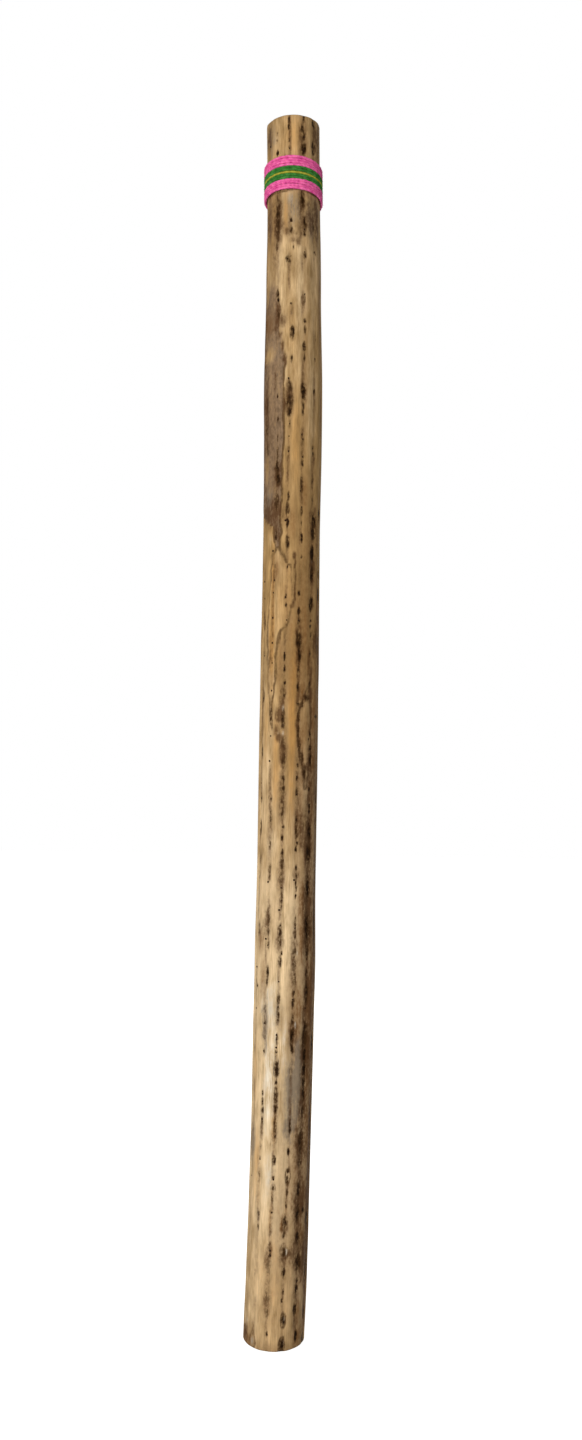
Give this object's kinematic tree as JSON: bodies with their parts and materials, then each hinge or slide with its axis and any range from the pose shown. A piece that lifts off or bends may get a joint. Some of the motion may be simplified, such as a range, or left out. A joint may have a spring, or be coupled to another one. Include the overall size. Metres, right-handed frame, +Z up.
{
  "type": "rain stick",
  "caption": "Hollow dried cactus tube with inward thorns, loose pebbles, a wooden plug at each end and a wound yarn band; tipped end over end it sounds like rain.",
  "frame": {"origin": "middle of the lower end face, the thicker end, farthest from the yarn band", "axes": "+Z up along the stick towards the yarn band; the pictured side faces -Y; the stem's slight bow is towards +X"},
  "size_m": [0.0542, 0.0504, 1],
  "materials": {
    "cactus_wood": "sanded and lightly varnished",
    "plug_wood": "sanded",
    "thorn": "dry horn-like spine",
    "pebble_stone": "river-worn",
    "yarn_pink": "soft wool yarn",
    "yarn_green": "soft wool yarn",
    "yarn_yellow": "soft wool yarn"
  },
  "bodies": {
    "stick": {"cactus_tube": "cactus_wood", "lower_plug": "plug_wood", "upper_plug": "plug_wood", "pink_yarn_upper": "yarn_pink", "green_yarn_upper": "yarn_green", "yellow_yarn": "yarn_yellow", "green_yarn_lower": "yarn_green", "pink_yarn_lower": "yarn_pink", "thorn_01": "thorn", "thorn_02": "thorn", "thorn_03": "thorn", "thorn_04": "thorn", "thorn_05": "thorn", "thorn_06": "thorn", "thorn_07": "thorn", "thorn_08": "thorn", "thorn_09": "thorn", "thorn_10": "thorn", "thorn_11": "thorn", "thorn_12": "thorn", "thorn_13": "thorn", "thorn_14": "thorn", "thorn_15": "thorn", "thorn_16": "thorn", "thorn_17": "thorn", "thorn_18": "thorn", "thorn_19": "thorn", "thorn_20": "thorn", "thorn_21": "thorn", "thorn_22": "thorn", "thorn_23": "thorn", "thorn_24": "thorn", "thorn_25": "thorn", "thorn_26": "thorn", "thorn_27": "thorn", "thorn_28": "thorn", "thorn_29": "thorn", "thorn_30": "thorn", "thorn_31": "thorn", "thorn_32": "thorn", "thorn_33": "thorn", "thorn_34": "thorn", "thorn_35": "thorn", "thorn_36": "thorn", "thorn_37": "thorn", "thorn_38": "thorn", "thorn_39": "thorn"},
    "pebble_01_body": {"pebble_01": "pebble_stone"},
    "pebble_02_body": {"pebble_02": "pebble_stone"},
    "pebble_03_body": {"pebble_03": "pebble_stone"},
    "pebble_04_body": {"pebble_04": "pebble_stone"},
    "pebble_05_body": {"pebble_05": "pebble_stone"},
    "pebble_06_body": {"pebble_06": "pebble_stone"},
    "pebble_07_body": {"pebble_07": "pebble_stone"},
    "pebble_08_body": {"pebble_08": "pebble_stone"},
    "pebble_09_body": {"pebble_09": "pebble_stone"},
    "pebble_10_body": {"pebble_10": "pebble_stone"},
    "pebble_11_body": {"pebble_11": "pebble_stone"},
    "pebble_12_body": {"pebble_12": "pebble_stone"},
    "pebble_13_body": {"pebble_13": "pebble_stone"}
  },
  "joints": [
    {"name": "pebble_01_fall", "type": "slide", "parent": "stick", "child": "pebble_01_body", "axis": [0, 0, 1], "range_m": [0, 0.971]},
    {"name": "pebble_02_fall", "type": "slide", "parent": "stick", "child": "pebble_02_body", "axis": [0, 0, 1], "range_m": [0, 0.971]},
    {"name": "pebble_03_fall", "type": "slide", "parent": "stick", "child": "pebble_03_body", "axis": [0, 0, 1], "range_m": [0, 0.971]},
    {"name": "pebble_04_fall", "type": "slide", "parent": "stick", "child": "pebble_04_body", "axis": [0, 0, 1], "range_m": [0, 0.971]},
    {"name": "pebble_05_fall", "type": "slide", "parent": "stick", "child": "pebble_05_body", "axis": [0, 0, 1], "range_m": [0, 0.971]},
    {"name": "pebble_06_fall", "type": "slide", "parent": "stick", "child": "pebble_06_body", "axis": [0, 0, 1], "range_m": [0, 0.971]},
    {"name": "pebble_07_fall", "type": "slide", "parent": "stick", "child": "pebble_07_body", "axis": [0, 0, 1], "range_m": [0, 0.971]},
    {"name": "pebble_08_fall", "type": "slide", "parent": "stick", "child": "pebble_08_body", "axis": [0, 0, 1], "range_m": [0, 0.971]},
    {"name": "pebble_09_fall", "type": "slide", "parent": "stick", "child": "pebble_09_body", "axis": [0, 0, 1], "range_m": [0, 0.971]},
    {"name": "pebble_10_fall", "type": "slide", "parent": "stick", "child": "pebble_10_body", "axis": [0, 0, 1], "range_m": [0, 0.971]},
    {"name": "pebble_11_fall", "type": "slide", "parent": "stick", "child": "pebble_11_body", "axis": [0, 0, 1], "range_m": [0, 0.971]},
    {"name": "pebble_12_fall", "type": "slide", "parent": "stick", "child": "pebble_12_body", "axis": [0, 0, 1], "range_m": [0, 0.971]},
    {"name": "pebble_13_fall", "type": "slide", "parent": "stick", "child": "pebble_13_body", "axis": [0, 0, 1], "range_m": [0, 0.971]}
  ]
}
